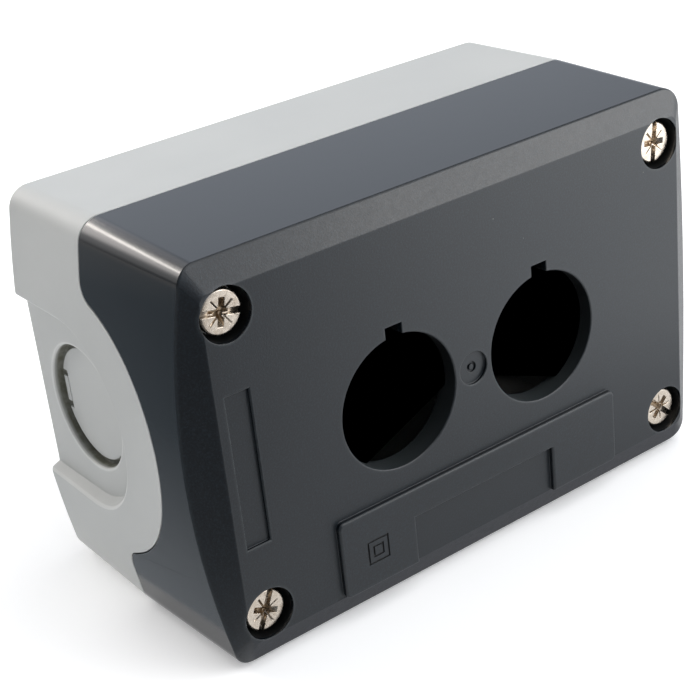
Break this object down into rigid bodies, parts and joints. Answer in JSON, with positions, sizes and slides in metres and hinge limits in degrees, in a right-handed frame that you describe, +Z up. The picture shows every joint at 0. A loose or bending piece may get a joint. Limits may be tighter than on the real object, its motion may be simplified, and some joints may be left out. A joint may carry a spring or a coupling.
{
  "type": "pushbutton control station",
  "caption": "Empty two-part plastic enclosure for panel pushbuttons, with a screwed front cover, an arched seal line and knock-out cable entries at both ends.",
  "frame": {"origin": "centre of the flat back face, which goes against the wall", "axes": "+X along the long side, +Y out of the back face towards the wall, +Z up, so the front face looks along -Y and the notches of the button holes point up"},
  "size_m": [0.1056, 0.0525, 0.068],
  "materials": {
    "base_moulding": "finely textured light grey polycarbonate",
    "cover_moulding": "matte dark blue-grey polycarbonate, glossier on the sides",
    "seal_rubber": "matte",
    "plated_screw": "nickel plated",
    "washer_nylon": "natural nylon",
    "insert_brass": "machined"
  },
  "bodies": {
    "rear_base": {"rear_base": "base_moulding", "thread_insert_top_left": "insert_brass", "thread_insert_top_right": "insert_brass", "thread_insert_bottom_left": "insert_brass", "thread_insert_bottom_right": "insert_brass"},
    "front_cover": {"front_cover": "cover_moulding", "cover_gasket": "seal_rubber"},
    "washer_top_left": {"screw_washer_top_left": "washer_nylon"},
    "screw_top_left": {"cover_screw_top_left": "plated_screw"},
    "washer_top_right": {"screw_washer_top_right": "washer_nylon"},
    "screw_top_right": {"cover_screw_top_right": "plated_screw"},
    "washer_bottom_left": {"screw_washer_bottom_left": "washer_nylon"},
    "screw_bottom_left": {"cover_screw_bottom_left": "plated_screw"},
    "washer_bottom_right": {"screw_washer_bottom_right": "washer_nylon"},
    "screw_bottom_right": {"cover_screw_bottom_right": "plated_screw"}
  },
  "joints": [
    {"name": "cover_lift", "type": "slide", "parent": "rear_base", "child": "front_cover", "axis": [0, -1, 0], "range_m": [0, 0.06]},
    {"name": "screw_travel_top_left", "type": "slide", "parent": "front_cover", "child": "washer_top_left", "axis": [0, -1, 0], "range_m": [0, 0.0098]},
    {"name": "screw_turn_top_left", "type": "hinge", "parent": "washer_top_left", "child": "screw_top_left", "pos_m": [-0.0434, -0.0415, 0.025], "axis": [0, -1, 0], "range_deg": [0, 5040]},
    {"name": "screw_travel_top_right", "type": "slide", "parent": "front_cover", "child": "washer_top_right", "axis": [0, -1, 0], "range_m": [0, 0.0098]},
    {"name": "screw_turn_top_right", "type": "hinge", "parent": "washer_top_right", "child": "screw_top_right", "pos_m": [0.0434, -0.0415, 0.025], "axis": [0, -1, 0], "range_deg": [0, 5040]},
    {"name": "screw_travel_bottom_left", "type": "slide", "parent": "front_cover", "child": "washer_bottom_left", "axis": [0, -1, 0], "range_m": [0, 0.0098]},
    {"name": "screw_turn_bottom_left", "type": "hinge", "parent": "washer_bottom_left", "child": "screw_bottom_left", "pos_m": [-0.0434, -0.0415, -0.025], "axis": [0, -1, 0], "range_deg": [0, 5040]},
    {"name": "screw_travel_bottom_right", "type": "slide", "parent": "front_cover", "child": "washer_bottom_right", "axis": [0, -1, 0], "range_m": [0, 0.0098]},
    {"name": "screw_turn_bottom_right", "type": "hinge", "parent": "washer_bottom_right", "child": "screw_bottom_right", "pos_m": [0.0434, -0.0415, -0.025], "axis": [0, -1, 0], "range_deg": [0, 5040]}
  ],
  "couplings": [
    {"joint": "screw_turn_top_left", "follows": "screw_travel_top_left", "rad_per_m": 8976},
    {"joint": "screw_turn_top_right", "follows": "screw_travel_top_right", "rad_per_m": 8976},
    {"joint": "screw_turn_bottom_left", "follows": "screw_travel_bottom_left", "rad_per_m": 8976},
    {"joint": "screw_turn_bottom_right", "follows": "screw_travel_bottom_right", "rad_per_m": 8976}
  ]
}
